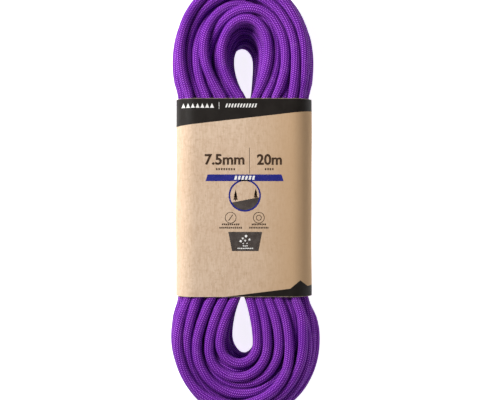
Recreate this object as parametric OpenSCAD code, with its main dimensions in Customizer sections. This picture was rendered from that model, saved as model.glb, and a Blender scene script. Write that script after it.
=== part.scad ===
// Climbing rope made up as a hank: one long kernmantle rope wound into two
// lobes with a pinched waist, held by a card band that slides a little along it.
// The hank lies on its back. +Y runs along it, +Z is the side that shows the
// band's face, and the origin is on the floor under the middle of the hank.

/* [Rope] */
// Diameter of the rope over its sheath
rope_d = 7.5; // [7:0.1:7.8]
// Wall of the braided sheath
sheath_t = 1; // [0.8:0.05:1.05]
// Diameter of one core strand
strand_d = 1.7; // [1.2:0.05:1.7]
// Width of the marker tape inside the sheath
tape_w = 0.8; // [0.5:0.1:0.8]
// Thickness of the marker tape
tape_t = 0.15; // [0.1:0.05:0.15]

/* [Upper lobe] */
// Half the width of the upper lobe
upper_half_w = 55; // [54:0.5:56]
// Half the length of the ellipse that the upper lobe follows
upper_half_l = 66; // [62:1:68]
// Distance from the origin to the middle of the upper lobe's ellipse
upper_y = 105.5; // [104:0.5:108]
// Thickness of the upper lobe
upper_h = 42; // [41:0.5:44]
// Angle by which the upper lobe leans sideways
upper_lean = 1; // [0:0.5:3]

/* [Lower lobe] */
// Half the width of the lower lobe
lower_half_w = 58; // [56:0.5:60]
// Half the length of the ellipse that the lower lobe follows
lower_half_l = 64.7; // [62:0.1:68]
// Distance from the origin to the middle of the lower lobe's ellipse
lower_y = 106.8; // [104:0.1:108]
// Thickness of the lower lobe
lower_h = 40; // [40:0.5:42]
// Angle by which the lower lobe leans sideways
lower_lean = 2.2; // [0:0.1:3]

/* [Card band] */
// Width of the band across the hank
band_w = 103.8; // [103:0.1:104]
// Thickness of the band from front to back
band_h = 36.7; // [36.2:0.1:37]
// Length of the band along the hank
band_l = 149; // [140:1:150]
// Thickness of the card
card_t = 0.45; // [0.3:0.05:0.5]
// Radius of the band's rounded edges, outside
band_r = 15.5; // [14:0.5:16]
// Width of the glued overlap
lap_w = 18; // [10:1:24]
// Thickness of the glue in the overlap
glue_t = 0.1; // [0.05:0.05:0.15]

/* [Rope ends] */
// Wall of the shrunk sleeve on each rope end
sleeve_t = 0.3; // [0.2:0.05:0.4]
// How far the melted tip stands out of the sleeve
tip_l = 2.4; // [1.5:0.1:3]

/* [Hidden] */

purple = [0.37, 0.14, 0.55];
dark_purple = [0.2, 0.07, 0.3];
core_white = [0.93, 0.92, 0.88];
tape_blue = [0.2, 0.18, 0.55];
sleeve_grey = [0.12, 0.12, 0.13];
kraft = [0.8, 0.68, 0.55];
glue_amber = [0.85, 0.75, 0.5];

// The band sits a little to the left of the lower lobe, and above the floor
band_x = -1.1;
band_y = 1.3;
band_z = 2.95;
// Gap between the waist of the hank and the inside of the band
waist_gap = 0.6;
waist_w = band_w - 2 * (card_t + waist_gap);
waist_h = band_h - 2 * (card_t + waist_gap);
waist_r = band_r - card_t - waist_gap;
waist_z = band_z + card_t + waist_gap;
// The waist runs on past the band, so that the band has room to slide
waist_over = 4.7;
waist_y0 = band_y - band_l / 2 - waist_over;
waist_y1 = band_y + band_l / 2 + waist_over;

// The lobes' middles across the hank
upper_x = -1.8;
lower_x = 0;

// The lobes step in towards their upper and lower faces
outline_points = 72;
upper_inset = 6;
lower_inset = 16;
face_step = 7;
// Below this height the lower lobe leaves room for the two rope tails
tail_room_h = 15.5;
waist_room_h = 14.5;
tail_room_y = -62;
tail_room_x = 38;
eps = 0.05;

// Eyes of the two lobes: a round end and a pinched point
upper_eye_r = 7.4;
upper_eye_x = -0.9;
upper_eye_y = 109;
upper_eye_tip_y = 82;
lower_eye_r = 7.2;
lower_eye_x = -1.9;
lower_eye_y = -112;
lower_eye_tip_y = -79.5;

// Centre lines of the two tails, from inside the band to the rope's ends
left_route = [
    [-44, -62, 10.5], [-44, -72, 10.5], [-44.5, -81, 10.5], [-46.5, -90, 8.5],
    [-49.5, -100, 5.2], [-51.5, -110, 4.2], [-50.5, -120, 4.2],
    [-47, -130, 4.2], [-42, -139, 4.2]
];
right_route = [
    [42, -62, 10.5], [42, -72, 10.5], [42.5, -81, 10.5], [45, -90, 8.5],
    [49, -100, 5.2], [51.5, -110, 4.2], [51.5, -120, 4.2],
    [48.5, -130, 4.2], [43.5, -140, 4.2], [36.5, -149, 4.2]
];
sleeve_rings = 3;
tube_sides = 12;
strand_sides = 8;
outer_strands = 6;
// The outer strands and the tape lie at these shares of the core's radius
core_r = rope_d / 2 - sheath_t;
strand_share = 0.64;
tape_share = 0.87;
// The melted tip's face is this much smaller than the rope, and its edge is rounded
tip_inset = 0.2;
tip_round = 1.2;
// The glue stops short of the overlap's edges
glue_margin = 2;
// The band's card is cut open by this much beside the overlap
start_gap = 1;
eye_steps = 32;

// A point's direction along its route, from its neighbours
function unit(v) = v / norm(v);
function along(route, i) =
    i == 0 ? unit([0, route[1][1] - route[0][1], 0])
    : unit(route[min(i + 1, len(route) - 1)] - route[i - 1]);
function across(route, i) = unit(cross(along(route, i), [0, 0, 1]));
function upward(route, i) = cross(across(route, i), along(route, i));
function regular(sides, r) =
    [for (k = [0:sides - 1]) r * [cos(360 * k / sides), sin(360 * k / sides)]];
function ring(route, i, profile) =
    [for (p = profile) route[i] + p[0] * across(route, i) + p[1] * upward(route, i)];
function ellipse(a, b) =
    [for (k = [0:outline_points - 1])
        [a * cos(360 * k / outline_points), b * sin(360 * k / outline_points)]];

// A closed rod of any profile along part of a route
module rod(route, first, last, profile) {
    n = len(profile);
    rings = last - first + 1;
    points = [for (i = [first:last]) each ring(route, i, profile)];
    sides = [for (i = [0:rings - 2]) for (k = [0:n - 1])
        [i * n + k, i * n + (k + 1) % n, (i + 1) * n + (k + 1) % n, (i + 1) * n + k]];
    start = [[for (k = [n - 1:-1:0]) k]];
    end = [[for (k = [0:n - 1]) (rings - 1) * n + k]];
    polyhedron(points, concat(sides, start, end), convexity = 4);
}

// A hollow tube along part of a route
module tube(route, first, last, r_out, r_in) {
    n = tube_sides;
    rings = last - first + 1;
    outer = [for (i = [first:last]) each ring(route, i, regular(n, r_out))];
    inner = [for (i = [first:last]) each ring(route, i, regular(n, r_in))];
    m = rings * n;
    walls = [for (i = [0:rings - 2]) for (k = [0:n - 1]) let (
        a = i * n + k, b = i * n + (k + 1) % n, c = b + n, d = a + n)
        each [[a, b, c, d], [m + b, m + a, m + d, m + c]]];
    starts = [for (k = [0:n - 1]) [(k + 1) % n, k, m + k, m + (k + 1) % n]];
    e = m - n;
    ends = [for (k = [0:n - 1]) [e + k, e + (k + 1) % n, m + e + (k + 1) % n, m + e + k]];
    polyhedron(concat(outer, inner), concat(walls, starts, ends), convexity = 6);
}

// A rounded rectangle in the XY plane, centred
module rounded(w, h, r) {
    square([w - 2 * r, h], center = true);
    square([w, h - 2 * r], center = true);
    for (sx = [-1, 1], sy = [-1, 1])
        translate([sx * (w / 2 - r), sy * (h / 2 - r)]) circle(r, $fn = 64);
}

// One level of a lobe: an ellipse cut off where the waist begins
module lobe_level(x, y, a, b, lean, inset, z0, z1) {
    cut_y = y > 0 ? waist_y1 - eps : waist_y0 + eps;
    reach = 2 * b;
    translate([0, 0, z0]) linear_extrude(z1 - z0) intersection() {
        translate([x, y]) rotate(lean) polygon(ellipse(a - inset, b - inset));
        translate([-reach, y > 0 ? cut_y : cut_y - reach]) square([2 * reach, reach]);
    }
}

// An eye: a round end and two straight flanks that meet in a point
module eye(x, y, r, tip_y, h) {
    s = sign(tip_y - y);
    gap = abs(tip_y - y);
    rise = asin(r / gap);
    arc = [for (k = [0:eye_steps]) let (a = -rise + k * (180 + 2 * rise) / eye_steps)
        r * [cos(a), -s * sin(a)]];
    translate([x, y, -1]) linear_extrude(h + 2) polygon(concat(arc, [[0, s * gap]]));
}

// One lobe: a narrower level at the floor, the full outline, and a narrower face
module lobe(x, y, a, b, lean, h, floor_inset, floor_h) {
    lobe_level(x, y, a, b, lean, floor_inset, 0, floor_h);
    lobe_level(x, y, a, b, lean, 0, floor_h, h - face_step);
    lobe_level(x, y, a, b, lean, upper_inset, h - face_step, h);
}

module upper_lobe() {
    difference() {
        lobe(upper_x, upper_y, upper_half_w, upper_half_l, upper_lean, upper_h,
            upper_inset, face_step);
        eye(upper_eye_x, upper_eye_y, upper_eye_r, upper_eye_tip_y, upper_h);
    }
}

module lower_lobe() {
    difference() {
        lobe(lower_x, -lower_y, lower_half_w, lower_half_l, lower_lean, lower_h,
            lower_inset, tail_room_h);
        eye(lower_eye_x, lower_eye_y, lower_eye_r, lower_eye_tip_y, lower_h);
    }
}

// The waist, with a step at its lower end where the tails come out
module waist() {
    difference() {
        translate([band_x, waist_y1, waist_z + waist_h / 2]) rotate([90, 0, 0])
            linear_extrude(waist_y1 - waist_y0) rounded(waist_w, waist_h, waist_r);
        for (side = [-1, 1])
            translate([side > 0 ? band_x + tail_room_x : band_x - tail_room_x - waist_w,
                waist_y0 - 1, 0])
                cube([waist_w, tail_room_y - waist_y0 + 1, waist_room_h]);
    }
}

module rope_hank() {
    color(purple) union() {
        waist();
        upper_lobe();
        lower_lobe();
    }
}

module tail_sheath(route) {
    color(purple) tube(route, 0, len(route) - 1, rope_d / 2, rope_d / 2 - sheath_t);
}
module left_tail_sheath() { tail_sheath(left_route); }
module right_tail_sheath() { tail_sheath(right_route); }

// Strand 1 is the middle one, and the others lie round it
function strand_at(k) = k == 1 ? [0, 0]
    : core_r * strand_share * [cos(360 * k / outer_strands), sin(360 * k / outer_strands)];
module core_strand(k) {
    profile = [for (p = regular(strand_sides, strand_d / 2)) p + strand_at(k)];
    color(core_white) for (route = [left_route, right_route])
        rod(route, 0, len(route) - 1, profile);
}

// The tape lies in the valley between two strands
module marker_tape() {
    valley = 180 / outer_strands;
    out = [cos(valley), sin(valley)];
    side = [-sin(valley), cos(valley)];
    profile = [for (c = [[-1, -1], [1, -1], [1, 1], [-1, 1]])
        (core_r * tape_share + c[0] * tape_t / 2) * out + c[1] * tape_w / 2 * side];
    color(tape_blue) for (route = [left_route, right_route])
        rod(route, 0, len(route) - 1, profile);
}

module end_sleeve(route) {
    last = len(route) - 1;
    color(sleeve_grey)
        tube(route, last - sleeve_rings + 1, last, rope_d / 2 + eps + sleeve_t, rope_d / 2 + eps);
}
module left_end_sleeve() { end_sleeve(left_route); }
module right_end_sleeve() { end_sleeve(right_route); }

// The melted end: a flat face against the rope and a rounded front
module fused_tip(route) {
    last = len(route) - 1;
    dir = along(route, last);
    r = rope_d / 2 - tip_inset;
    color(dark_purple) translate(route[last]) rotate([0, 0, atan2(dir[1], dir[0])])
        rotate([0, 90, 0]) rotate_extrude($fn = 48) union() {
            square([r - tip_round, tip_l]);
            square([r, tip_l - tip_round]);
            translate([r - tip_round, tip_l - tip_round]) intersection() {
                circle(tip_round, $fn = 48);
                square(tip_round);
            }
        }
}
module left_fused_tip() { fused_tip(left_route); }
module right_fused_tip() { fused_tip(right_route); }

// The card goes once round the waist, and its end laps over its start below
module paper_band() {
    lap_x = -lap_w / 2;
    color(kraft) translate([band_x, band_y, band_z]) {
        difference() {
            translate([0, band_l / 2, band_h / 2]) rotate([90, 0, 0]) linear_extrude(band_l)
                difference() {
                    rounded(band_w, band_h, band_r);
                    rounded(band_w - 2 * card_t, band_h - 2 * card_t, band_r - card_t);
                }
            translate([lap_x + lap_w, -band_l, -1]) cube([start_gap, 2 * band_l, 1 + 2 * card_t]);
        }
        translate([lap_x, -band_l / 2, -card_t - glue_t])
            cube([lap_w + start_gap + card_t, band_l, card_t]);
        translate([lap_x + lap_w + start_gap, -band_l / 2, -card_t - glue_t])
            cube([card_t, band_l, 2 * card_t + glue_t]);
    }
}

module band_glue() {
    color(glue_amber)
        translate([band_x - lap_w / 2 + glue_margin, band_y - band_l / 2 + glue_margin, band_z - glue_t])
            cube([lap_w - 2 * glue_margin, band_l - 2 * glue_margin, glue_t]);
}

rope_hank();
left_tail_sheath();
right_tail_sheath();
for (k = [1:outer_strands + 1])
    core_strand(k);
marker_tape();
left_end_sleeve();
right_end_sleeve();
left_fused_tip();
right_fused_tip();
paper_band();
band_glue();
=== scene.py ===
"""The looks of a climbing rope wound into a hank, with its card band. Lengths in the code are in millimetres,
in the part's own frame, and become metres where a mesh is made."""

import math

import bmesh
import bpy
import numpy as np
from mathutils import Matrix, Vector


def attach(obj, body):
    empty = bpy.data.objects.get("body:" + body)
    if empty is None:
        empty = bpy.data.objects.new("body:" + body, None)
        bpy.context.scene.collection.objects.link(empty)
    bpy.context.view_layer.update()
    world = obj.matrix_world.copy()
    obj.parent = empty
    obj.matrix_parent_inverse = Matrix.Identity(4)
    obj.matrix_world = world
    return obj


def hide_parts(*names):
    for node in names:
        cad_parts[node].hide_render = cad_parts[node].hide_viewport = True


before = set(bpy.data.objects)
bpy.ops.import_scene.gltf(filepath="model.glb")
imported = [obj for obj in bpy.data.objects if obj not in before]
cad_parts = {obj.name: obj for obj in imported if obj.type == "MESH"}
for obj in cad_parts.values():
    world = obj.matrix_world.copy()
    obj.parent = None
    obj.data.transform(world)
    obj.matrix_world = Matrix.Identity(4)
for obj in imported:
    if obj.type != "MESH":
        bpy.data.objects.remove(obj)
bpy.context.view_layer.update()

MM = 0.001

# ---- sizes
ROPE_D = 7.5
ROPE_R = ROPE_D / 2
CORE_STRANDS = 7

# The card band, and the room for the rope inside it
BAND_X, BAND_Y = -1.1, 1.3
BAND_W, BAND_H, BAND_L = 103.8, 36.7, 149.0
BAND_Z = 2.95
BAND_R = 15.5
CARD_T = 0.45
GLUE_T = 0.1
LAP_W = 18.0
BAND_TRAVEL = 4.0
WAIST_HALF_W = 50.8
WAIST_LOW, WAIST_HIGH = 4.0, 38.6
WAIST_ROUND = 14.0

# Turns in each row, from the front to the floor. They lie a step apart between the eye at 0 and the outside
# at 1, and every second row starts half a step further out.
ROW_COUNTS = (4, 4, 4, 4, 4, 4, 4, 3)
ROW_STEP = 0.286
# How far a turn may lie from its place in the row, in the band and in each lobe
UNEVEN = (0.035, 0.035)
LOBE_UNEVEN = (0.055, 0.06)

# Each lobe is an ellipse round an eye. A pair holds the value on the floor and the value at the front. The
# slopes are how far the sides lean in up to the front. At the band the legs meet by pinch to the side.
UPPER = {
    "sign": 1.0, "x": -1.8, "half_w": 55.0, "y": 105.5, "half_l": 66.0, "h": 42.0, "lean": math.radians(-0.8),
    "eye_x": (-0.9, -0.1), "eye_half_w": (6.4, 14.0), "eye_y": (107.5, 109.5), "eye_tip": (116.0, 131.5),
    "pinch": 4.0, "slope_left": 2.5, "slope_right": 5.5,
}
LOWER = {
    "sign": -1.0, "x": 0.0, "half_w": 58.1, "y": 106.8, "half_l": 64.7, "h": 40.0, "lean": math.radians(2.2),
    "eye_x": (-1.8, -4.2), "eye_half_w": (7.6, 9.6), "eye_y": (107.0, 108.0), "eye_tip": (119.5, 119.5),
    "pinch": -0.4, "slope_left": 3.5, "slope_right": 11.0,
}

# Centre lines of the two tails, as in the CAD, from inside the band to the rope's ends
LEFT_ROUTE = [
    [-44, -62, 10.5], [-44, -72, 10.5], [-44.5, -81, 10.5], [-46.5, -90, 8.5],
    [-49.5, -100, 5.2], [-51.5, -110, 4.2], [-50.5, -120, 4.2],
    [-47, -130, 4.2], [-42, -139, 4.2],
]
RIGHT_ROUTE = [
    [42, -62, 10.5], [42, -72, 10.5], [42.5, -81, 10.5], [45, -90, 8.5],
    [49, -100, 5.2], [51.5, -110, 4.2], [51.5, -120, 4.2],
    [48.5, -130, 4.2], [43.5, -140, 4.2], [36.5, -149, 4.2],
]
# Inside the band the first turn comes from the left tail. The last one ends at DIVE_FROM_Y and dives past the
# others to the right tail.
LEAD_IN = [[-44, -58, 10.5], [-43, -40, 9.6], [-38, -15, 8.4]]
DIVE = [[46.4, 42, 29], [46.6, 8, 22], [45.6, -28, 14.5], [42.6, -54, 10.7]]
DIVE_FROM_Y = 68.0
JOINED = 0.5  # ends closer than this are one point

PLACE_SEED, LOBE_SEED, WANDER_SEED, END_SEED = 11, 5, 7, 3


# ---- small helpers
def lerp(a, b, t):
    return a + (b - a) * t


def smooth(t):
    t = np.clip(t, 0.0, 1.0)
    return t * t * (3 - 2 * t)


def pair(lobe, key, v):
    """A lobe's value at depth v, from 0 on the floor to 1 at the front."""
    return lerp(lobe[key][0], lobe[key][1], v)


def new_mesh_object(name, points, faces, smooth_shaded=True):
    """A mesh object from points in millimetres."""
    mesh = bpy.data.meshes.new(name)
    mesh.from_pydata((np.asarray(points, float) * MM).tolist(), [], faces)
    mesh.validate()
    if smooth_shaded:
        mesh.shade_smooth()
    piece = bpy.data.objects.new(name, mesh)
    bpy.context.scene.collection.objects.link(piece)
    return piece


# ---- camera
CAMERA_AT = (3.6, -0.54, 729.0)
CAMERA_HALF_VIEW = 187.5 / 690.0  # half the view's width over its distance
SENSOR_W = 36.0


def make_camera():
    data = bpy.data.cameras.new("camera")
    data.sensor_width = SENSOR_W
    data.lens = SENSOR_W / 2 / CAMERA_HALF_VIEW
    camera = bpy.data.objects.new("camera", data)
    camera.location = Vector(CAMERA_AT) * MM
    bpy.context.scene.collection.objects.link(camera)
    bpy.context.scene.camera = camera


# ---- the rope's route
def turn_places():
    """Where each turn lies, in the order of winding: u from 0 at the eye to 1 outside, and v from 0 on the
    floor to 1 at the front. The turns go to and fro, row on row."""
    places = []
    rng = np.random.default_rng(PLACE_SEED)
    inward = True
    for row in range(len(ROW_COUNTS) - 1, -1, -1):
        first = row % 2 * ROW_STEP / 2
        across = [first + ROW_STEP * k for k in range(ROW_COUNTS[row])]
        if inward and row > 0:
            across.reverse()
        places += [(u, 1.0 - row / (len(ROW_COUNTS) - 1)) for u in across]
        inward = not inward
    uneven = rng.uniform(-1, 1, (len(places), 2)) * UNEVEN
    return np.clip(np.array(places) + uneven, 0, 1)


LEG_INSIDE = 2.0  # legs start to spread this far inside the band
LEG_CURVE = 1.9  # how soon a leg spreads past the band
LEG_LIFT = 3.0  # legs start to rise or sink this far on
LEG_RISE = 34.0  # and reach the lobe's height over this length
LEGS_APART, LEGS_LEAST = 0.1, 0.05  # half the gap of the middle legs, drawn and settled
DIVE_ROOM = 6.5  # the right legs leave this room for the last one
DIVE_BELOW = 0.92  # only rows deeper than this leave it
OUT_GAIN, OUT_LATE = 1.7, 0.4  # how soon a turn takes its place in the lobe
HALF_TURN_POINTS = 60


def leg_start(lobe):
    """Where the legs start to spread, along the lobe's own direction."""
    return lobe["sign"] * BAND_Y + BAND_L / 2 - LEG_INSIDE


def leg_spread(lobe, y, full_y):
    """How far a leg has spread at y, from 0 in the band to 1 at full_y."""
    start = leg_start(lobe)
    return 1 - (1 - np.clip((y - start) / (full_y - start), 0, 1)) ** LEG_CURVE


def turn_oval(lobe, u, v):
    """The oval that a turn follows: its middle x and y, half its width and half its length."""
    eye_y = pair(lobe, "eye_y", v)
    a = lerp(pair(lobe, "eye_half_w", v) + ROPE_R, lobe["half_w"] - ROPE_R, u)
    b = lerp(pair(lobe, "eye_tip", v) - eye_y + ROPE_R, lobe["half_l"] - ROPE_R, u)
    return lerp(pair(lobe, "eye_x", v), lobe["x"], u), lerp(eye_y, lobe["y"], u), a, b


def half_turn(lobe, start, end, off):
    """Points round a lobe, from the middle of one leg to the middle of the other. Out in the lobe they lie
    off their place by off."""
    t = np.linspace(0, 1, HALF_TURN_POINTS)
    outer = smooth(OUT_GAIN * np.sin(math.pi * t) - OUT_LATE)
    u, v = (np.clip(lerp(start[k], end[k], smooth(t)) + off[k] * outer, 0, 1) for k in (0, 1))
    cx, cy, a, b = turn_oval(lobe, u, v)
    middle = lobe["sign"] * BAND_Y
    straight = cy.mean() - middle
    arc = math.pi * math.sqrt((a.mean() ** 2 + b.mean() ** 2) / 2)
    total = 2 * straight + arc
    d = t * total
    # The upper half turn starts on the left leg, the lower one on the right leg
    first_side = -lobe["sign"]
    side = np.where(d < total / 2, first_side, -first_side)
    along = np.minimum(d, total - d)
    leg = along < straight
    leg_y = middle + along * (cy - middle) / straight
    spread = leg_spread(lobe, leg_y, cy)
    room = np.where((side > 0) & (v < DIVE_BELOW), DIVE_ROOM, 0.0)
    waist = lerp(ROPE_R + LEGS_APART, WAIST_HALF_W - ROPE_R - room, u)
    pinched = BAND_X + lobe["pinch"] * (1 - u) * smooth(along / (leg_start(lobe) - middle))
    leg_x = lerp(pinched, cx, spread) + side * lerp(waist, a, spread)
    angle = (d - straight) / arc * math.pi
    x = np.where(leg, leg_x, cx + first_side * a * np.cos(angle))
    y = np.where(leg, leg_y, cy + b * np.sin(angle))
    rise = smooth((y - leg_start(lobe) - LEG_LIFT) / LEG_RISE)
    in_band = lerp(WAIST_LOW + ROPE_R, WAIST_HIGH - ROPE_R, v)
    in_lobe = lerp(ROPE_R, lobe["h"] - ROPE_R, v)
    return np.stack([x + lean_shift(lobe, y), lobe["sign"] * y, lerp(in_band, in_lobe, rise)], axis=1)


LEAN_OVER = 40.0  # over this length a lobe starts to lean


def lean_shift(lobe, y):
    """The lobe leans sideways beyond its middle."""
    past = np.maximum(y - lobe["y"], 0)
    return -lobe["sign"] * lobe["lean"] * smooth((y - lobe["y"]) / LEAN_OVER + 0.5) * past


def spline(points, per=8):
    """A smooth curve through the points."""
    p = np.asarray(points, float)
    last = len(p) - 1
    out = []
    for i in range(last):
        p0, p1, p2, p3 = p[max(i - 1, 0)], p[i], p[i + 1], p[min(i + 2, last)]
        for t in np.arange(per) / per:
            out.append(cubic(p0, p1, p2, p3, t))
    return np.array(out + [p[-1]])


def cubic(p0, p1, p2, p3, t):
    return 0.5 * (2 * p1 + (p2 - p0) * t + (2 * p0 - 5 * p1 + 4 * p2 - p3) * t**2
                  + (3 * p1 - p0 - 3 * p2 + p3) * t**3)


def lengths_along(p):
    return np.concatenate([[0.0], np.cumsum(np.linalg.norm(np.diff(p, axis=0), axis=1))])


def spaced(p, step, curved):
    """The same line with a point about every step."""
    s = lengths_along(p)
    at = np.linspace(0, s[-1], int(round(s[-1] / step)) + 1)
    i = np.clip(np.searchsorted(s, at, "right") - 1, 0, len(p) - 2)
    t = ((at - s[i]) / (s[i + 1] - s[i]))[:, None]
    near = [p[np.clip(i + k, 0, len(p) - 1)] for k in (-1, 0, 1, 2)]
    return cubic(*near, t) if curved else lerp(near[1], near[2], t)


def drawn_route(step):
    """The rope from tip to tip as drawn, before it settles, and which of its points are fixed."""
    places = turn_places()
    rng = np.random.default_rng(LOBE_SEED)
    offs = rng.uniform(-1, 1, (2, len(places), 2)) * LOBE_UNEVEN
    tail_a = spline(LEFT_ROUTE)[::-1]
    tail_b = spline(RIGHT_ROUTE)
    parts = [tail_a, spline(LEAD_IN)]
    for k, place in enumerate(places):
        parts.append(half_turn(UPPER, place, place, offs[0, k]))
        if k < len(places) - 1:
            parts.append(half_turn(LOWER, place, places[k + 1], offs[1, k]))
    past_top = np.arange(len(parts[-1])) > len(parts[-1]) // 2
    parts[-1] = parts[-1][~(past_top & (parts[-1][:, 1] < DIVE_FROM_Y))]
    parts += [spline(DIVE, 10), tail_b]
    line = [parts[0]]
    for part in parts[1:]:
        joined = np.linalg.norm(line[-1][-1] - part[0]) < JOINED
        line.append(part[1:] if joined else part)
    line = spaced(np.concatenate(line), step, curved=False)
    at = np.arange(len(line)) * step
    fixed = (at < lengths_along(tail_a)[-1]) | (at[-1] - at < lengths_along(tail_b)[-1])
    return line, fixed


# ---- settling the rope
SLOPE_FROM = 11.0  # above this height the lobes' sides lean in
SLOPE_CURVE = 1.4  # how late they lean in
SLOPE_TIP, SLOPE_WAIST = 0.8, 0.5  # the lobe's end and waist lean in by these shares
LOBE_INSIDE = 1.0  # a lobe's room starts this far inside the band's edge
MOUTH_L = 22.0  # the turns spread over this length past the band's furthest place
MOUTH_FROM, MOUTH_SLOPE = 2.0, 0.50  # sideways from here and at this slope
MOUTH_RISE = 8.0  # how far the room opens up and down by the mouth's end


def keep_in_lobe(lobe, p):
    """Points kept between the lobe's eye and its outline. p has y along the lobe's own direction."""
    x, y, z = p.T
    lean = lean_shift(lobe, y)
    x, y = inside_outline(lobe, x - lean, y, z)
    x, y = outside_eye(lobe, x, y, z)
    return np.stack([x + lean, y, z], axis=1)


def inside_outline(lobe, x, y, z):
    """Points kept inside the lobe's outline, which is drawn in towards the front."""
    height = np.clip((z - SLOPE_FROM) / (lobe["h"] - ROPE_R - SLOPE_FROM), 0, 1)
    inset = np.where(x > lobe["x"], lobe["slope_right"], lobe["slope_left"]) * height**SLOPE_CURVE
    a = lobe["half_w"] - ROPE_R - inset
    b = lobe["half_l"] - ROPE_R - inset * SLOPE_TIP
    spread = leg_spread(lobe, y, lobe["y"])
    reach = lerp(WAIST_HALF_W - ROPE_R - inset * SLOPE_WAIST, a, spread)
    middle = lerp(BAND_X, lobe["x"], spread)
    leg = y < lobe["y"]
    x = np.where(leg, middle + np.clip(x - middle, -reach, reach), x)
    return outside_or_inside(x, y, lobe["x"], lobe["y"], a, b, ~leg, outside=False)


def outside_eye(lobe, x, y, z):
    """Points kept out of the lobe's eye and of the gap between its legs."""
    v = np.clip((z - ROPE_R) / (lobe["h"] - 2 * ROPE_R), 0, 1)
    a = pair(lobe, "eye_half_w", v) + ROPE_R
    cx, cy = pair(lobe, "eye_x", v), pair(lobe, "eye_y", v)
    b = pair(lobe, "eye_tip", v) - cy + ROPE_R
    spread = leg_spread(lobe, y, cy)
    least = lerp(ROPE_R + LEGS_LEAST, a, spread)
    middle = lerp(BAND_X + lobe["pinch"], cx, spread)
    side = np.where(x >= middle, 1.0, -1.0)
    x = np.where((y < cy) & (np.abs(x - middle) < least), middle + side * least, x)
    return outside_or_inside(x, y, cx, cy, a, b, y >= cy, outside=True)


def outside_or_inside(x, y, cx, cy, a, b, where, outside):
    """Moves points of the flagged part onto an ellipse where they are on its wrong side."""
    r = np.hypot((x - cx) / a, (y - cy) / b)
    wrong = where & ((r < 1) if outside else (r > 1))
    k = np.where(wrong, 1 / np.maximum(r, 0.001), 1)
    return cx + (x - cx) * k, cy + (y - cy) * k


def keep_in_band(p, spare):
    """Points kept in the band's rounded room with this much to spare."""
    half_w, half_h = WAIST_HALF_W - ROPE_R + spare, (WAIST_HIGH - WAIST_LOW) / 2 - ROPE_R + spare
    corner = WAIST_ROUND - ROPE_R + spare
    mid_z = (WAIST_LOW + WAIST_HIGH) / 2
    x = np.clip(p[:, 0] - BAND_X, -half_w, half_w)
    z = np.clip(p[:, 2] - mid_z, -half_h, half_h)
    cx = np.clip(x, corner - half_w, half_w - corner)
    cz = np.clip(z, corner - half_h, half_h - corner)
    r = np.hypot(x - cx, z - cz)
    k = np.where(r > corner, corner / np.maximum(r, 1e-9), 1)
    return np.stack([BAND_X + cx + (x - cx) * k, p[:, 1], mid_z + cz + (z - cz) * k], axis=1)


def keep_in_room(p):
    """Points kept above the floor, in the lobes and in the band with its widening mouths."""
    p = p.copy()
    p[:, 2] = np.maximum(p[:, 2], ROPE_R)
    for lobe in (UPPER, LOWER):
        flip = np.array([1.0, lobe["sign"], 1.0])
        there = lobe["sign"] * p[:, 1] > lobe["sign"] * BAND_Y + BAND_L / 2 - LOBE_INSIDE
        part = keep_in_lobe(lobe, p[there] * flip)
        part[:, 2] = np.minimum(part[:, 2], lobe["h"] - ROPE_R)
        p[there] = part * flip
    past = np.abs(p[:, 1] - BAND_Y) - (BAND_L / 2 + BAND_TRAVEL)
    near = past < MOUTH_L
    part, past = p[near], past[near]
    opening = smooth(past / MOUTH_L) * MOUTH_RISE
    lowest = np.maximum(WAIST_LOW + ROPE_R - opening, ROPE_R)
    level = np.clip(part[:, 2], lowest, WAIST_HIGH - ROPE_R + opening)
    levelled = np.stack([part[:, 0], part[:, 1], level], axis=1)
    banded = keep_in_band(levelled, MOUTH_SLOPE * np.maximum(past - MOUTH_FROM, 0))
    p[near] = np.where((past < MOUTH_L / 2)[:, None], banded, levelled)
    return p


def near_pairs(p, reach, skip):
    """Pairs of a point i and a segment j, from point j to j + 1, that are near each other."""
    middle = (p[1:] + p[:-1]) / 2
    low = p.min(0) - reach
    cell_p = np.floor((p - low) / reach).astype(np.int64)
    cell_m = np.floor((middle - low) / reach).astype(np.int64)
    size = np.maximum(cell_p.max(0), cell_m.max(0)) + 3

    def key(c):
        return ((c[:, 0] + 1) * size[1] + c[:, 1] + 1) * size[2] + c[:, 2] + 1

    keys = key(cell_m)
    order = np.argsort(keys, kind="stable")
    keys = keys[order]
    first, second = [], []
    for offset in np.ndindex(3, 3, 3):
        wanted = key(cell_p + np.array(offset) - 1)
        start = np.searchsorted(keys, wanted, "left")
        count = np.searchsorted(keys, wanted, "right") - start
        before = np.concatenate([[0], np.cumsum(count)[:-1]])
        first.append(np.repeat(np.arange(len(p)), count))
        second.append(order[np.arange(count.sum()) + np.repeat(start - before, count)])
    i, j = np.concatenate(first), np.concatenate(second)
    kept = (np.abs(i - j) > skip) & (np.linalg.norm(p[i] - middle[j], axis=1) < reach)
    return i[kept], j[kept]


SETTLE_STEP = 6.0  # distance between the points of the settling line
SETTLE_ROUNDS = 320
SETTLE_GAP = 7.38  # turns closer than this push each other apart
SETTLE_SKIP = 2.2  # but not within this many diameters along the rope
SETTLE_PUSH = 1.4  # share of the push that one round gives
SEARCH_EVERY = 10  # rounds between two searches for near turns
SEARCH_MARGIN = 4.0
SETTLE_SINK = 0.02  # how far the lobes sink in each round
SINK_PAST = 85.0  # beyond this distance from the hank's middle
BEND_PASSES, BEND_SHARE = 2, 0.25  # how often and by how much a round evens out the shift
WANDER = (1.9, 1.9, 2.2)
WANDER_EVERY = 120.0


def wandering(n, rng):
    """A slow random walk to the sides, so that no two turns lie alike."""
    knots = rng.normal(0, 1, (int(n * SETTLE_STEP / WANDER_EVERY) + 4, 3))
    at = np.arange(n) * SETTLE_STEP / WANDER_EVERY
    i = at.astype(int)
    return np.array(WANDER) * lerp(knots[i], knots[i + 1], smooth(at - i)[:, None])


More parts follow.
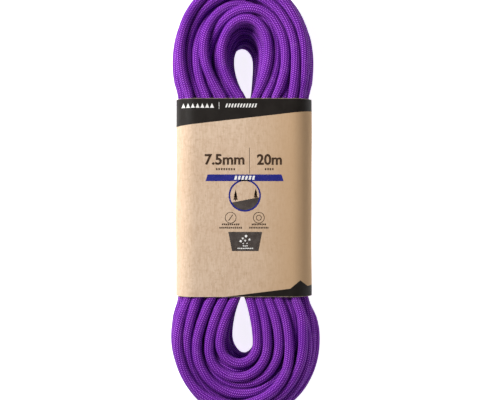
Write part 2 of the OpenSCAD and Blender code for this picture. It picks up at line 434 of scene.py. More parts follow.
def push_apart(p, i, j):
    """How far to move each point so that touching turns separate."""
    a, edge = p[j], p[j + 1] - p[j]
    t = np.clip(((p[i] - a) * edge).sum(1) / np.maximum((edge * edge).sum(1), 1e-9), 0, 1)
    away = p[i] - (a + t[:, None] * edge)
    dist = np.sqrt((away * away).sum(1))
    hit = dist < SETTLE_GAP
    i, j, t, away, dist = i[hit], j[hit], t[hit], away[hit], dist[hit]
    push = away / np.maximum(dist, 1e-6)[:, None] * ((SETTLE_GAP - dist) / 2)[:, None]
    shares = [(i, 1.0, np.ones(len(i))), (j, -1.0, 1 - t), (j + 1, -1.0, t)]
    moved, touched = np.zeros_like(p), np.zeros(len(p))
    for index, sign, weight in shares:
        touched += np.bincount(index, weight, len(p))
        for k in range(3):
            moved[:, k] += sign * np.bincount(index, push[:, k] * weight, len(p))
    return moved / np.maximum(touched, 1)[:, None]


def settle(line, fixed):
    """Lets the turns find room beside each other, under their own weight and with some stiffness."""
    rng = np.random.default_rng(WANDER_SEED)
    free = (~fixed).astype(float)[:, None]
    drawn = line
    p = drawn + wandering(len(line), rng) * free
    skip = int(SETTLE_SKIP * ROPE_D / SETTLE_STEP) + 1
    for turn in range(SETTLE_ROUNDS):
        if turn % SEARCH_EVERY == 0:
            i, j = near_pairs(p, ROPE_D + SETTLE_STEP / 2 + SEARCH_MARGIN, skip)
        p = p + SETTLE_PUSH * free * push_apart(p, i, j)
        p[:, 2] -= SETTLE_SINK * (np.abs(p[:, 1]) > SINK_PAST) * free[:, 0]
        shift = p - drawn
        for _ in range(BEND_PASSES):
            shift[1:-1] += BEND_SHARE * (shift[2:] + shift[:-2] - 2 * shift[1:-1]) * free[1:-1]
        p = drawn + shift
        p = np.where(free > 0, keep_in_room(p), p)
    return p


# ---- tubes
def frames_along(p, twist_every=None):
    """Two directions across the line at each point, with no twist or with one turn in twist_every."""
    ahead = np.gradient(p, axis=0)
    ahead /= np.linalg.norm(ahead, axis=1)[:, None]
    up = np.zeros_like(ahead)
    last = np.array([0.0, 0.0, 1.0])
    for i, t in enumerate(ahead):
        last = last - t * last.dot(t)
        last /= np.linalg.norm(last)
        up[i] = last
    side = np.cross(ahead, up)
    if twist_every:
        angle = (lengths_along(p) / twist_every * 2 * math.pi)[:, None]
        up, side = up * np.cos(angle) + side * np.sin(angle), side * np.cos(angle) - up * np.sin(angle)
    return up, side


def ring_points(centres, up, side, radii):
    """Points of the rings round these centres. radii has a row for each ring."""
    angle = np.arange(radii.shape[1]) * 2 * math.pi / radii.shape[1]
    ring = np.cos(angle)[None, :, None] * up[:, None] + np.sin(angle)[None, :, None] * side[:, None]
    return (centres[:, None] + radii[:, :, None] * ring).reshape(-1, 3)


def tube(name, line, radii, sides, twist_every=None):
    """A closed tube along the line, with the UV map "braid": x once round the tube, y in metres along it."""
    up, side = frames_along(line, twist_every)
    radii = np.broadcast_to(radii, (len(line), sides))
    points = ring_points(line, up, side, radii)
    i = np.arange(len(line) - 1)[:, None] * sides
    k = np.arange(sides)[None, :]
    after = (k + 1) % sides
    quads = np.stack([i + k, i + after, i + sides + after, i + sides + k], axis=2).reshape(-1, 4)
    start = list(range(sides))[::-1]
    end = [len(points) - sides + n for n in range(sides)]
    piece = new_mesh_object(name, points, quads.tolist() + [start, end])
    at = lengths_along(line) * MM
    u0 = np.broadcast_to(k / sides, (len(line) - 1, sides))
    u1 = u0 + 1 / sides
    v0 = np.broadcast_to(at[:-1, None], u0.shape)
    v1 = np.broadcast_to(at[1:, None], u0.shape)
    uv = np.stack([u0, v0, u1, v0, u1, v1, u0, v1], axis=2).reshape(-1)
    layer = piece.data.uv_layers.new(name="braid")
    caps = np.zeros(4 * sides)
    layer.data.foreach_set("uv", np.concatenate([uv, caps]).astype(np.float32))
    return piece


RING_STEP = 4.0
ROPE_SIDES = 12
TWIST_EVERY = 420.0
FLOOR_GAP = 0.02


def make_rope():
    line, fixed = drawn_route(SETTLE_STEP)
    line = spaced(settle(line, fixed), RING_STEP, curved=True)
    line[:, 2] = np.maximum(line[:, 2], ROPE_R + FLOOR_GAP)
    rope = tube("rope", line, ROPE_R, ROPE_SIDES, TWIST_EVERY)
    return rope, line


# ---- rope ends
def lumpy(n, sides, size, rng):
    """Small smooth dents and bumps for a tube of n rings."""
    at = np.linspace(0, 1, n)[:, None]
    round_ = np.arange(sides)[None, :] * 2 * math.pi / sides
    out = np.zeros((n, sides))
    for lobes in (2, 3, 5):
        a, b = rng.uniform(0, 2 * math.pi, 2)
        out += np.cos(lobes * round_ + a) * np.cos(at * lobes * 4 + b) / lobes
    return size * out


SLEEVE_OUT, SLEEVE_IN = 0.35, 0.06  # the sleeve's faces over the rope's surface
SLEEVE_POINTS = 3  # points of a tail's route that the sleeve covers
SLEEVE_STEP = 0.7
RIM_ROUND, RIM_RINGS = 0.12, 2.0  # how far the rims round off, and over how many rings
TIP_LENGTH = 2.4
TIP_INSIDE = 0.2  # the dome starts this far inside the rope
TIP_SLIM = 0.15  # and is thinner by this
TIP_RINGS = 10
TIP_BLUNT, TIP_CLOSE = 3.2, 0.985  # how blunt the dome is, and how nearly it closes
SLEEVE_DENTS, TIP_DENTS = 0.03, 0.035
END_SIDES = 32


def make_sleeve(name, route, rng):
    """A shrunk tube over the rope's end: out along the outside and back along the inside."""
    line = spaced(spline(route[-SLEEVE_POINTS:]), SLEEVE_STEP, curved=True)
    n = len(line)
    rim = np.minimum(np.arange(n), np.arange(n)[::-1]) / RIM_RINGS
    outside = ROPE_R + SLEEVE_OUT - RIM_ROUND * (1 - np.clip(rim, 0, 1)) ** 2
    wall = outside[:, None] + lumpy(n, END_SIDES, SLEEVE_DENTS, rng)
    there_and_back = np.concatenate([line, line[::-1]])
    radii = np.concatenate([wall, np.full((n, END_SIDES), ROPE_R + SLEEVE_IN)])
    return ring_stack(name, line, there_and_back, radii)


def make_tip(name, route, rng):
    """The melted end of the rope: a low uneven dome."""
    end, before = np.array(route[-1], float), np.array(route[-2], float)
    ahead = (end - before) / np.linalg.norm(end - before)
    t = np.linspace(0, 1, TIP_RINGS)
    line = end + np.outer(np.sin(t * math.pi / 2) * TIP_LENGTH - TIP_INSIDE, ahead)
    radius = (ROPE_R - TIP_SLIM) * np.sqrt(np.maximum(1 - (t * TIP_CLOSE) ** TIP_BLUNT, 0))
    radii = radius[:, None] * (1 + lumpy(len(t), END_SIDES, TIP_DENTS, rng))
    return tube(name, line, radii, END_SIDES)


def ring_stack(name, line, centres, radii):
    """Rings out along the line and back inside it, closed into one wall."""
    up, side = frames_along(line)
    up, side = np.concatenate([up, up[::-1]]), np.concatenate([side, side[::-1]])
    points = ring_points(centres, up, side, radii)
    count = len(centres)
    here = np.arange(count)[:, None] * END_SIDES
    there = np.roll(here, -1, axis=0)
    k = np.arange(END_SIDES)[None, :]
    after = (k + 1) % END_SIDES
    quads = np.stack([here + k, here + after, there + after, there + k], axis=2)
    return new_mesh_object(name, points, quads.reshape(-1, 4).tolist())


# ---- card band
# Points along each part of the card's path
LAP_POINTS, CORNER_POINTS, FRONT_POINTS, BACK_POINTS, STEP_POINTS = 18, 14, 34, 10, 8
STEP_FROM, STEP_TO, STEP_PAST = 6.0, 1.5, 1.0  # the card steps down this far before its start
SAME_POINT = 0.05


def band_path():
    """The middle of the card round the waist, as (x, z) points with their directions outwards: from the
    overlap by the left edge, the front and the right edge to below its start."""
    inset = CARD_T / 2
    half_w, r = BAND_W / 2 - inset, BAND_R - inset
    low, high, lap_low = BAND_Z + inset, BAND_Z + BAND_H - inset, BAND_Z - GLUE_T - inset
    flat, lap = half_w - r, LAP_W / 2
    points = [(x, low) for x in np.linspace(lap, -flat, LAP_POINTS)]
    corners = ((-flat, low + r, 270), (-flat, high - r, 180), (flat, high - r, 90), (flat, low + r, 0))
    for cx, cz, start in corners:
        for angle in np.radians(np.linspace(start, start - 90, CORNER_POINTS)):
            points.append((cx + r * math.cos(angle), cz + r * math.sin(angle)))
        if cx < 0 and cz > low + r:
            points += [(x, high) for x in np.linspace(-flat, flat, FRONT_POINTS)]
    points += [(x, low) for x in np.linspace(flat, lap + STEP_FROM, BACK_POINTS)]
    for t in np.linspace(0, 1, STEP_POINTS):
        points.append((lerp(lap + STEP_FROM, lap + STEP_TO, t), lerp(low, lap_low, float(smooth(t)))))
    points += [(x, lap_low) for x in np.linspace(lap + STEP_PAST, -lap, BACK_POINTS)]
    p = [points[0]]
    for q in points[1:]:
        if math.dist(p[-1], q) > SAME_POINT:
            p.append(q)
    p = np.array(p)
    ahead = np.gradient(p, axis=0)
    ahead /= np.linalg.norm(ahead, axis=1)[:, None]
    return p, np.stack([-ahead[:, 1], ahead[:, 0]], axis=1)


RIPPLE = 0.24
# The card's waves: share, lengths along y and round the band, and start
WAVES = ((0.5, 21, 33, 0.0), (0.3, 9.5, -17, 1.2), (0.2, 38, 9, 2.0))
BAND_ROWS = 62
PRINTED_HALF_W = 47.0
CALM_FADE, LAP_FADE = 4.0, 10.0
CUT_EDGE = math.radians(50)


def card_lift(path):
    """How far the card stands off its path: faint waves, and none where it is printed or glued."""
    s = lengths_along(path)[:, None]
    y = np.linspace(-BAND_L / 2, BAND_L / 2, BAND_ROWS)[None, :]
    ripple = RIPPLE * sum(share * np.sin(y / long + s / wide + start) for share, long, wide, start in WAVES)
    off_middle = np.abs(path[:, 0])
    calm_front = smooth((off_middle - PRINTED_HALF_W) / CALM_FADE) + (path[:, 1] < BAND_Z + BAND_H / 2)
    calm_lap = smooth((off_middle - LAP_W) / LAP_FADE) + (path[:, 1] > BAND_Z + BAND_H / 2)
    return ripple * (np.clip(calm_front, 0, 1) * np.clip(calm_lap, 0, 1))[:, None]


def sheet_faces(m, n):
    """Faces of a thin sheet of m by n points: its front, its back and its cut edges all round."""
    front = [(a, a + n, a + n + 1, a + 1) for i in range(m - 1) for a in range(i * n, i * n + n - 1)]
    back = m * n
    faces = front + [tuple(back + k for k in reversed(face)) for face in front]
    rim = list(range(n)) + [i * n + n - 1 for i in range(1, m)]
    rim += [(m - 1) * n + j for j in reversed(range(n - 1))] + [i * n for i in reversed(range(1, m - 1))]
    return faces + [(a, b, back + b, back + a) for a, b in zip(rim, rim[1:] + rim[:1])]


def make_band():
    path, outward = band_path()
    lift = card_lift(path)
    y = np.linspace(-BAND_L / 2, BAND_L / 2, BAND_ROWS)
    sheets = []
    for side in (1, -1):
        off = side * CARD_T / 2 + lift
        x = BAND_X + path[:, :1] + outward[:, :1] * off
        z = path[:, 1:] + outward[:, 1:] * off
        sheets.append(np.stack([x, BAND_Y + np.broadcast_to(y, x.shape), z], axis=2))
    points = np.concatenate([sheet.reshape(-1, 3) for sheet in sheets])
    band = new_mesh_object("card_band", points, sheet_faces(len(path), BAND_ROWS))
    band.data.set_sharp_from_angle(angle=CUT_EDGE)
    return band


# ---- materials
class Paint:
    """Builds a node material step by step. Its methods take numbers or sockets, and return sockets."""

    def __init__(self, name):
        self.material = bpy.data.materials.new(name)
        self.material.use_nodes = True
        self.tree = self.material.node_tree
        self.shader = self.tree.nodes["Principled BSDF"]
        self.at = self.node("ShaderNodeTexCoord").outputs["Object"]

    def node(self, kind, inputs=None, **settings):
        made = self.tree.nodes.new(kind)
        for key, value in settings.items():
            setattr(made, key, value)
        for key, value in (inputs or {}).items():
            self.put(made.inputs[key], value)
        return made

    def put(self, socket, value):
        if isinstance(value, bpy.types.NodeSocket):
            self.tree.links.new(value, socket)
        elif isinstance(value, (tuple, list)) and len(value) == 3 and socket.type == "RGBA":
            socket.default_value = (*value, 1.0)
        else:
            socket.default_value = value

    def math(self, operation, a, b=None, c=None):
        inputs = {k: v for k, v in enumerate((a, b, c)) if v is not None}
        return self.node("ShaderNodeMath", inputs, operation=operation).outputs[0]

    def plus(self, a, b):
        return self.math("ADD", a, b)

    def minus(self, a, b):
        return self.math("SUBTRACT", a, b)

    def times(self, a, b, more=None):
        """a times b, with more added where it is given."""
        return self.math("MULTIPLY" if more is None else "MULTIPLY_ADD", a, b, more)

    def mix(self, share, a, b):
        made = self.node("ShaderNodeMix", data_type="RGBA")
        for socket, value in ((made.inputs[0], share), (made.inputs[6], a), (made.inputs[7], b)):
            self.put(socket, value)
        return made.outputs[2]

    def noise(self, scale, detail=3.0, rough=0.55, stretch=None):
        inputs = {"Scale": scale, "Detail": detail, "Roughness": rough, "Vector": self.at}
        if stretch:
            mapping = self.node("ShaderNodeMapping", {"Vector": self.at, "Scale": stretch})
            inputs["Vector"] = mapping.outputs["Vector"]
        return self.node("ShaderNodeTexNoise", inputs).outputs["Fac"]

    def between(self, value, low, high, to_low=0.0, to_high=1.0):
        inputs = {"Value": value, "From Min": low, "From Max": high, "To Min": to_low, "To Max": to_high}
        return self.node("ShaderNodeMapRange", inputs, interpolation_type="SMOOTHSTEP").outputs[0]

    def finish(self, colour, rough, bump, **sockets):
        """The material with these sockets set. bump is a height, its depth and its strength."""
        relief = self.node("ShaderNodeBump", dict(zip(("Height", "Distance", "Strength"), bump)))
        sockets |= {"base_color": colour, "roughness": rough, "normal": relief.outputs[0]}
        for key, value in sockets.items():
            self.put(self.shader.inputs[key.replace("_", " ").title().replace("Ior", "IOR")], value)
        return self.material


YARNS_EACH_WAY = 12  # yarns that wind each way round the sheath
PICK = 1.50  # distance along the rope from one yarn to the next


def sheath_material():
    """A braid of yarns that pass over two and under two, so that the crossings line up in chevrons."""
    p = Paint("braided_sheath")
    uv = p.node("ShaderNodeSeparateXYZ", {0: p.node("ShaderNodeUVMap", uv_map="braid").outputs[0]})
    around = p.times(uv.outputs[0], float(YARNS_EACH_WAY))
    along = p.times(uv.outputs[1], 1 / MM / PICK)
    right, left = p.plus(around, along), p.minus(around, along)
    in_right, in_left = p.math("FRACT", right), p.math("FRACT", left)
    count = p.plus(p.math("FLOOR", right), p.math("FLOOR", left))
    phase = p.math("FLOORED_MODULO", count, 4.0)
    right_over = p.math("LESS_THAN", phase, 1.5)

    def choose(over, under):
        return p.plus(p.times(over, right_over), p.times(under, p.minus(1.0, right_over)))

    across = choose(in_right, in_left)
    run = choose(p.plus(phase, in_left), p.plus(p.minus(phase, 2.0), in_right))
    crown = p.math("SINE", p.times(across, math.pi))
    arch = p.math("SINE", p.times(run, math.pi / 2))
    height = p.times(p.math("POWER", crown, 0.7), p.times(arch, 0.55, 0.45))
    strands = p.noise(2600.0, 2.0)
    cloudy = p.noise(38.0)
    worn = p.between(p.noise(150.0, 4.0), 0.56, 0.74)
    shade_and_highlight = p.times(p.minus(strands, 0.5), 0.5, height)
    # Painted shade and highlight: the colour runs from near black in the valleys between the yarns to pale
    # purple on their crowns
    low = p.mix(p.between(shade_and_highlight, 0.12, 0.62), (0.006, 0.0005, 0.018), (0.170, 0.013, 0.390))
    colour = p.mix(p.between(shade_and_highlight, 0.62, 1.05), low, (0.620, 0.160, 0.960))
    colour = p.mix(p.between(cloudy, 0.35, 0.7, 0.0, 0.35), colour, (0.110, 0.010, 0.30))
    colour = p.mix(p.times(worn, 0.12), colour, (0.55, 0.22, 0.80))
    rough = p.between(height, 0.2, 0.95, 0.80, 0.45)
    fine = p.times(strands, 0.18, height)
    return p.finish(colour, rough, bump=(fine, 0.00045, 1.0), specular_ior_level=0.07)


def core_material():
    """Twisted white yarn."""
    p = Paint("core_yarn")
    twist = p.node("ShaderNodeTexWave", {"Vector": p.at, "Scale": 420.0, "Distortion": 2.0, "Detail": 2.0},
                   bands_direction="DIAGONAL").outputs["Fac"]
    fibres = p.noise(1800.0)
    colour = p.mix(twist, (0.70, 0.67, 0.60), (0.93, 0.92, 0.87))
    colour = p.mix(p.times(fibres, 0.3), colour, (0.80, 0.76, 0.66))
    return p.finish(colour, p.between(fibres, 0.3, 0.7, 0.6, 0.85),
                    bump=(twist, 0.0002, 0.7), sheen_weight=0.3)


def tape_material():
    """A thin printed film with plain cross bars."""
    p = Paint("marker_film")
    bars = p.node("ShaderNodeTexWave", {"Vector": p.at, "Scale": 60.0}, bands_direction="Y").outputs["Fac"]
    colour = p.mix(p.between(bars, 0.55, 0.65), (0.035, 0.03, 0.28), (0.55, 0.56, 0.66))
    creases = p.noise(500.0)
    return p.finish(colour, p.between(creases, 0.3, 0.7, 0.22, 0.5), bump=(creases, 0.00006, 0.6))


def sleeve_material():
    """Shrunk plastic tube: dark, a little glossy, with faint marks of the braid below."""
    p = Paint("shrunk_sleeve")
    marks = p.noise(900.0, 2.0)
    scuffs = p.between(p.noise(260.0, 5.0, 0.7), 0.55, 0.75)
    colour = p.mix(scuffs, (0.010, 0.010, 0.012), (0.055, 0.055, 0.06))
    return p.finish(colour, p.between(scuffs, 0.0, 1.0, 0.24, 0.55),
                    bump=(marks, 0.00012, 0.5), coat_weight=0.15)


def tip_material():
    """Melted yarn, dark and glassy with some bubbles."""
    p = Paint("melted_tip")
    runs = p.noise(700.0, 4.0)
    bubbles = p.node("ShaderNodeTexVoronoi", {"Vector": p.at, "Scale": 1500.0}).outputs["Distance"]
    colour = p.mix(p.between(runs, 0.35, 0.7), (0.018, 0.004, 0.04), (0.09, 0.02, 0.17))
    height = p.times(bubbles, 0.5, runs)
    return p.finish(colour, p.between(runs, 0.3, 0.7, 0.18, 0.5), bump=(height, 0.00025, 0.6))


def glue_material():
    """Dried glue: amber, in rolled streaks."""
    p = Paint("dried_glue")
    streaks = p.noise(320.0, 4.0, stretch=(1.0, 0.12, 1.0))
    colour = p.mix(p.between(streaks, 0.35, 0.7), (0.55, 0.38, 0.14), (0.80, 0.66, 0.36))
    return p.finish(colour, p.between(streaks, 0.3, 0.7, 0.2, 0.45), bump=(streaks, 0.00008, 0.7))


KRAFT = (0.590, 0.430, 0.305)
KRAFT_DARK = (0.400, 0.255, 0.150)
KRAFT_LIGHT = (0.675, 0.520, 0.388)
# The card's colour on its right side, darker and warmer: painted shade
KRAFT_SHADED = (0.480, 0.305, 0.165)
INK_CHARCOAL = (0.010, 0.0075, 0.006)

# The dark strip's lower edge and the dark ground's upper edge, as heights over x
STRIP_AT, STRIP_SLOPE = 60.9, 0.115
GROUND_AT, GROUND_SLOPE = -71.2, 0.1245
PEAK_X, PEAK_Y, PEAK_SLOPE = 41.4, -60.8, 0.81
INK_EDGE = 0.08  # half the width over which the ink's edge fades
SHADE_FROM, SHADE_TO = -12.0, 46.0  # across this x the card turns darker and warmer: painted shade on the side away from the light


def card_grain(p):
    """Kraft paper: long fibres both ways, soft clouds and a few dark flecks. Returns (colour, height)."""
    clouds = p.noise(26.0, 3.0, 0.5)
    mottle = p.noise(420.0, 3.0, 0.6)
    fibres = p.noise(900.0, 3.0, 0.6, stretch=(1.0, 0.16, 1.0))
    cross = p.noise(1100.0, 2.0, stretch=(0.18, 1.0, 1.0))
    flecks = p.between(p.noise(1500.0, 1.0, stretch=(1.0, 0.4, 1.0)), 0.70, 0.78)
    colour = p.mix(p.between(clouds, 0.30, 0.72, 0.0, 0.6), KRAFT, KRAFT_LIGHT)
    colour = p.mix(p.between(mottle, 0.45, 0.75, 0.0, 0.38), colour, KRAFT_DARK)
    colour = p.mix(p.between(fibres, 0.35, 0.75, 0.0, 0.40), colour, KRAFT_DARK)
    colour = p.mix(p.between(cross, 0.5, 0.8, 0.0, 0.30), colour, KRAFT_LIGHT)
    colour = p.mix(p.times(flecks, 0.45), colour, (0.16, 0.10, 0.06))
    return colour, p.plus(fibres, p.times(mottle, 0.6))


def card_material():
    """Kraft card with its dark strip, dark ground and peak, rubbed cut edges, and painted shade that darkens
    it towards the right.
    """
    p = Paint("printed_card")
    axes = p.node("ShaderNodeSeparateXYZ", {0: p.at})
    x, y = (p.times(axes.outputs[k], 1 / MM) for k in (0, 1))
    colour, height = card_grain(p)
    # Painted shade: the card's colour turns darker and warmer towards its right side
    colour = p.mix(p.between(x, SHADE_FROM, SHADE_TO, 0.0, 0.9), colour, KRAFT_SHADED)
    ragged = p.times(p.minus(p.noise(700.0, 2.0), 0.5), 0.25)
    y_ink = p.plus(y, ragged)
    past_strip = p.minus(y_ink, p.times(x, STRIP_SLOPE, STRIP_AT))
    strip = p.between(past_strip, -INK_EDGE, INK_EDGE)
    ground = p.times(x, GROUND_SLOPE, GROUND_AT)
    off_peak = p.math("ABSOLUTE", p.minus(x, PEAK_X))
    peak = p.times(off_peak, -PEAK_SLOPE, PEAK_Y)
    land = p.between(p.minus(p.math("MAXIMUM", ground, peak), y_ink), -INK_EDGE, INK_EDGE)
    inked = p.math("MAXIMUM", strip, land)
    ink = p.mix(p.between(p.noise(130.0, 4.0), 0.35, 0.7), INK_CHARCOAL, (0.014, 0.011, 0.009))
    colour = p.mix(inked, colour, ink)
    # The cut edges show raw, rubbed paper
    from_end = p.minus(BAND_L / 2, p.math("ABSOLUTE", p.minus(y, BAND_Y)))
    frayed = p.times(p.noise(500.0), 0.8)
    rubbed = p.between(p.plus(from_end, frayed), 0.35, 0.95, 1.0, 0.0)
    colour = p.mix(p.times(rubbed, 0.55), colour, (0.62, 0.47, 0.34))
    rough = p.minus(p.between(height, 0.5, 1.1, 0.86, 0.70), p.times(inked, 0.22))
    return p.finish(colour, rough, specular_ior_level=0.15, bump=(height, 0.00006, 0.7))


def ink_material(name, colour, paler):
    """Matt ink on paper, a little uneven, with pin holes where the paper shows."""
    p = Paint(name)
    uneven = p.noise(240.0, 4.0)
    holes = p.between(p.noise(2600.0, 1.0), 0.70, 0.78)
    tone = p.mix(p.between(uneven, 0.3, 0.75), colour, paler)
    tone = p.mix(p.times(holes, 0.5), tone, KRAFT)
    return p.finish(tone, p.between(uneven, 0.3, 0.7, 0.5, 0.68), specular_ior_level=0.1,
                    bump=(uneven, 0.00003, 0.5))


def floor_material():
    p = Paint("studio_floor")
    soft = p.noise(6.0)
    colour = p.mix(soft, (0.90, 0.90, 0.90), (0.94, 0.94, 0.94))
    return p.finish(colour, 0.85, emission_color=(1.0, 1.0, 1.0), emission_strength=0.84,
                    bump=(p.noise(900.0, 2.0), 0.00005, 0.3))


# ---- print on the card
PRINT_UP, PRINT_T = 0.035, 0.055  # how far the ink's face stands off the card, and its thickness
EDGE_CUTS = range(-50, -36)  # x of the cuts that let the ink follow the rounded edge
SAME_CORNER = 0.001


def card_top(x):
    """Height of the card's face, which turns down at the band's rounded edges."""
    past = max(abs(x - BAND_X) - (BAND_W / 2 - BAND_R), 0.0)
    return BAND_Z + BAND_H - BAND_R + math.sqrt(BAND_R**2 - past**2)


def ink_piece(name, shapes, up):
    """A thin layer of ink over the card's face. Each shape is a list of (x, y) corners in order. A shape with
    a hole is a pair of such lists with equal counts, outer and inner."""
    points, faces = [], []
    for shape in shapes:
        base = len(points)
        if isinstance(shape, tuple):
            outer, inner = shape
            n = len(outer)
            points += [(x, y, 0.0) for x, y in (*outer, *inner)]
            faces += [(base + k, base + (k + 1) % n, base + n + (k + 1) % n, base + n + k) for k in range(n)]
        else:
            points += [(x, y, 0.0) for x, y in shape]
            faces.append(tuple(range(base, base + len(shape))))
    piece = new_mesh_object(name, points, faces, smooth_shaded=False)
    lay_on_card(piece, up)
    return piece


def lay_on_card(piece, up):
    """Bends flat shapes to the card's face and gives them their thickness."""
    layer = bmesh.new()
    layer.from_mesh(piece.data)
    bmesh.ops.remove_doubles(layer, verts=layer.verts, dist=SAME_CORNER * MM)
    for x in EDGE_CUTS:
        bmesh.ops.bisect_plane(layer, geom=layer.verts[:] + layer.edges[:] + layer.faces[:],
                               plane_co=(x * MM, 0, 0), plane_no=(1, 0, 0))
    for v in layer.verts:
        v.co.z = (card_top(v.co.x / MM) + up) * MM
    raised = bmesh.ops.extrude_face_region(layer, geom=layer.faces[:], use_keep_orig=True)["geom"]
    bmesh.ops.translate(layer, verts=[g for g in raised if isinstance(g, bmesh.types.BMVert)],
                        vec=(0, 0, -PRINT_T * MM))
    bmesh.ops.recalc_face_normals(layer, faces=layer.faces[:])
    layer.to_mesh(piece.data)
    layer.free()


def circle(cx, cy, r, n=64):
    turns = [2 * math.pi * k / n for k in range(n)]
    return [(cx + r * math.cos(a), cy + r * math.sin(a)) for a in turns]


def ring(cx, cy, r, width):
    return circle(cx, cy, r + width / 2), circle(cx, cy, r - width / 2)


def bar(cx, cy, w, h, slant=0.0, taper=0.0):
    """A bar about its middle: slant moves its top sideways, taper makes its foot wider."""
    x0, x1, y0, y1 = cx - w / 2, cx + w / 2, cy - h / 2, cy + h / 2
    s, t = slant * h / 2, taper
    return [(x0 - s - t, y0), (x1 - s + t, y0), (x1 + s - t, y1), (x0 + s + t, y1)]


def bar_row(cx, cy, w, h, count, share=0.6, slant=0.0):
    """A row of short bars that stands in for small print."""
    step = w / count
    return [bar(cx - w / 2 + step * (k + 0.5), cy, step * share, h, slant) for k in range(count)]


def numerals(text, left, right):
    """Plain numerals between left and right, as triangles on the card's face."""
    data = bpy.data.curves.new("numerals", "FONT")
    data.body = text
    data.offset = NUMERALS_BOLD
    writer = bpy.data.objects.new("numerals", data)
    bpy.context.scene.collection.objects.link(writer)
    bpy.context.view_layer.update()
    mesh = bpy.data.meshes.new_from_object(writer.evaluated_get(bpy.context.evaluated_depsgraph_get()))
    co = np.array([v.co[:2] for v in mesh.vertices])
    lo, hi = co.min(0), co.max(0)
    size = np.array([right - left, NUMERALS_HIGH - NUMERALS_LOW])
    co = (co - lo) / (hi - lo) * size + np.array([left, NUMERALS_LOW])
    shapes = [[tuple(co[i]) for i in f.vertices] for f in mesh.polygons]
    bpy.data.objects.remove(writer)
    bpy.data.meshes.remove(mesh)
    bpy.data.curves.remove(data)
    return shapes


def tree(cx, foot, h):
    """A fir tree of three steps."""
    w = h * 0.2
    shapes = [[(cx - w * k, foot + h * y), (cx + w * k, foot + h * y), (cx, foot + h * (y + 0.48))]
              for k, y in ((1.0, 0.12), (0.8, 0.34), (0.6, 0.52))]
    return shapes + [bar(cx, foot + h * 0.07, h * 0.07, h * 0.14)]


def below_chord(cx, cy, r, left, right, n=40):
    """The part of a circle below a line that meets it at the heights left and right over its middle."""
    first, last = math.pi - math.asin(left / r), 2 * math.pi + math.asin(right / r)
    return [(cx + r * math.cos(a), cy + r * math.sin(a)) for a in np.linspace(first, last, n)]


INK = {
    "brown": ("ink_brown", (0.040, 0.022, 0.012), (0.070, 0.042, 0.026)),
    "blue": ("ink_blue", (0.014, 0.018, 0.165), (0.024, 0.026, 0.210)),
    "grey": ("ink_grey", (0.052, 0.041, 0.036), (0.080, 0.066, 0.060)),
    "pale": ("ink_pale", (0.80, 0.79, 0.77), (0.70, 0.68, 0.64)),
}
RING_X, RING_Y, RING_R, RING_W = -0.35, 2.8, 11.5, 1.25
NUMERALS_LOW, NUMERALS_HIGH, NUMERALS_BOLD = 25.7, 33.9, 0.030
NOTE_Y, NOTE_H = 22.6, 1.6  # the small print below the numerals
BLUE_X, BLUE_Y = -0.5, 16.1  # the blue bar
ICON_Y, ICON_W = -13.8, 0.5  # the two round icons and the width of their lines
ICONS = ((-10.9, 13.5), (10.2, 11.0))  # the x of each icon, and how wide its small print is
# The dots on the badge: x, y and radius
DOTS = ((0.6, -27.6, 0.95), (-1.9, -29.3, 0.75), (3.2, -30.2, 0.75), (-3.4, -31.4, 0.85), (0.0, -30.9, 0.7),
        (1.4, -33.0, 0.45), (-1.5, -33.1, 0.45))


def brown_shapes():
    """The numerals, their divider and small print, the two icons and the two trees."""
    shapes = numerals("7.5mm", -30.4, -0.5) + numerals("20m", 8.8, 27.5)
    shapes += bar_row(-14.8, NOTE_Y, 15.0, NOTE_H, 8) + bar_row(18.0, NOTE_Y, 7.2, NOTE_H, 4)
    shapes += [bar(3.2, 29.0, 0.35, 19.5)]
    left_x, right_x = ICONS[0][0], ICONS[1][0]
    shapes += [ring(left_x, ICON_Y, 4.05, ICON_W), ring(right_x, ICON_Y, 4.05, ICON_W)]
    shapes += [bar(left_x, ICON_Y, 0.7, 4.6, slant=0.7), ring(right_x, ICON_Y, 1.9, ICON_W)]
    for x, w in ICONS:
        shapes += bar_row(x, -18.8, w, 1.3, 9, 0.7) + bar_row(x, -21.3, w + 3.8, 1.3, 12, 0.7)
    return shapes + tree(-7.2, -1.4, 8.6) + tree(7.9, 0.4, 8.0)


def pale_shapes():
    """The plain bars on the blue bar, and the badge's dots and small print."""
    shapes = bar_row(-0.4, BLUE_Y, 16.0, 3.0, 6, 0.62, slant=0.25)
    shapes += [circle(x, y, r, 20) for x, y, r in DOTS]
    return shapes + bar_row(0.0, -34.9, 4.0, 0.7, 3, 0.7) + bar_row(0.0, -36.8, 12.0, 0.8, 9, 0.75)


def print_shapes():
    """The print on the card's face, by ink. The small print is plain bars."""
    hill = below_chord(RING_X, RING_Y, RING_R - RING_W / 2, -5.2, -1.3)
    badge = bar(0.0, -31.6, 22.6, 14.4, taper=-1.4)
    blue = [bar(BLUE_X, BLUE_Y, 57.0, 5.0, taper=0.8), ring(RING_X, RING_Y, RING_R, RING_W)]
    return {"brown": brown_shapes(), "blue": blue, "grey": [hill, badge], "pale": pale_shapes()}


PEAKS, PEAKS_FROM_X, PEAKS_STEP = 7, -46.5, 3.6
PEAK_FOOT, PEAK_TOP, PEAK_HALF_W = 68.6, 72.0, 1.5
STRIP_Y = 70.3


def strip_shapes():
    """Plain marks on the dark strip: peaks, a divider and slanting bars."""
    peaks = []
    for k in range(PEAKS):
        x = PEAKS_FROM_X + PEAKS_STEP * k
        peaks.append([(x - PEAK_HALF_W, PEAK_FOOT), (x + PEAK_HALF_W, PEAK_FOOT), (x, PEAK_TOP)])
    divider = bar(-19.6, STRIP_Y, 0.3, 5.2)
    return peaks + [divider] + bar_row(-3.0, STRIP_Y, 24.0, 2.9, 11, 0.5, slant=0.35)


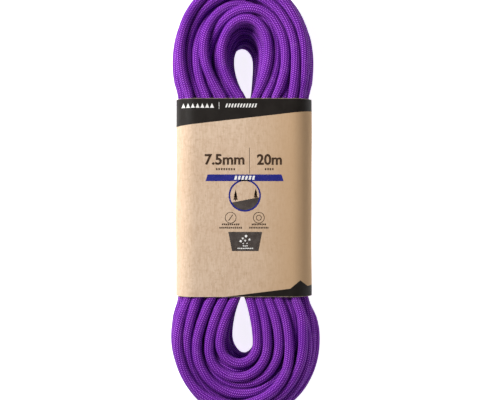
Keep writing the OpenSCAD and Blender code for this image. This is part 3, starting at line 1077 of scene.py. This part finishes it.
def make_print():
    made = []
    shapes = print_shapes()
    shapes["pale"] += strip_shapes()
    for key, (name, colour, paler) in INK.items():
        piece = ink_piece("print_" + key, shapes[key], PRINT_UP * (2 if key == "pale" else 1))
        piece.data.materials.append(ink_material(name, colour, paler))
        made.append(piece)
    return made


# ---- light and floor
LIGHTS_AIM = (0.0, 0.0, 0.02)
# Places in metres, sizes in metres and powers in watts
LIGHTS = {"key": ((-0.66, 0.44, 0.64), 0.40, 15.0), "fill": ((0.50, -0.30, 0.34), 0.30, 0.75)}


def area_light(name, at, size, power):
    data = bpy.data.lights.new(name, "AREA")
    data.size = size
    data.energy = power
    light = bpy.data.objects.new(name, data)
    light.location = at
    light.visible_camera = False
    light.rotation_euler = (Vector(LIGHTS_AIM) - Vector(at)).to_track_quat("-Z", "Y").to_euler()
    bpy.context.scene.collection.objects.link(light)


FLOOR_HALF = 9.0  # half the floor's side, in metres
FLOOR_CELLS = 12


def make_floor():
    n = FLOOR_CELLS + 1
    at = np.linspace(-FLOOR_HALF, FLOOR_HALF, n) / MM
    points = [(x, y, 0.0) for y in at for x in at]
    faces = [(j * n + i, j * n + i + 1, (j + 1) * n + i + 1, (j + 1) * n + i)
             for j in range(FLOOR_CELLS) for i in range(FLOOR_CELLS)]
    floor = new_mesh_object("floor", points, faces)
    floor.data.materials.append(floor_material())


def studio_world():
    """A pale room: bright all round at eye level, and dim straight above."""
    world = bpy.data.worlds.new("studio")
    world.use_nodes = True
    tree = world.node_tree
    parts = tree.nodes.new("ShaderNodeSeparateXYZ")
    tree.links.new(tree.nodes.new("ShaderNodeTexCoord").outputs["Generated"], parts.inputs[0])
    fade = tree.nodes.new("ShaderNodeMapRange")
    for key, value in (("From Min", 0.03), ("From Max", 0.35), ("To Min", 0.9), ("To Max", 0.10)):
        fade.inputs[key].default_value = value
    tree.links.new(parts.outputs["Z"], fade.inputs["Value"])
    background = tree.nodes["Background"]
    background.inputs["Color"].default_value = (1.0, 1.0, 1.0, 1.0)
    tree.links.new(fade.outputs[0], background.inputs["Strength"])
    return world


def make_light():
    scene = bpy.context.scene
    scene.view_settings.view_transform = "Standard"
    scene.world = studio_world()
    for name, (at, size, power) in LIGHTS.items():
        area_light(name, at, size, power)


# ---- the whole part
def paint(piece, material):
    piece.data.materials.clear()
    piece.data.materials.append(material)


def repaint(node, material):
    """A CAD node keeps its shape and gets a better material."""
    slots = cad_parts[node].data.materials
    if not slots:
        slots.append(material)
    for k in range(len(slots)):
        slots[k] = material


def build_rope():
    rope, line = make_rope()
    paint(rope, sheath_material())
    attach(rope, "rope")
    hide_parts("rope_hank", "left_tail_sheath", "right_tail_sheath")
    rng = np.random.default_rng(END_SEED)
    sleeve, tip = sleeve_material(), tip_material()
    ends = []
    for side, route in (("left", LEFT_ROUTE), ("right", RIGHT_ROUTE)):
        cuff = make_sleeve(side + "_sleeve", route, rng)
        paint(cuff, sleeve)
        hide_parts(side + "_end_sleeve")
        dome = make_tip(side + "_tip", route, rng)
        paint(dome, tip)
        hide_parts(side + "_fused_tip")
        ends += [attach(cuff, "rope"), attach(dome, "rope")]
    core = core_material()
    for k in range(1, CORE_STRANDS + 1):
        repaint("core_strand_%d" % k, core)
    repaint("marker_tape", tape_material())


def build_band():
    band = make_band()
    paint(band, card_material())
    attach(band, "band")
    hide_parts("paper_band")
    for piece in make_print():
        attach(piece, "band")
    repaint("band_glue", glue_material())


make_camera()
build_rope()
build_band()
make_floor()
make_light()
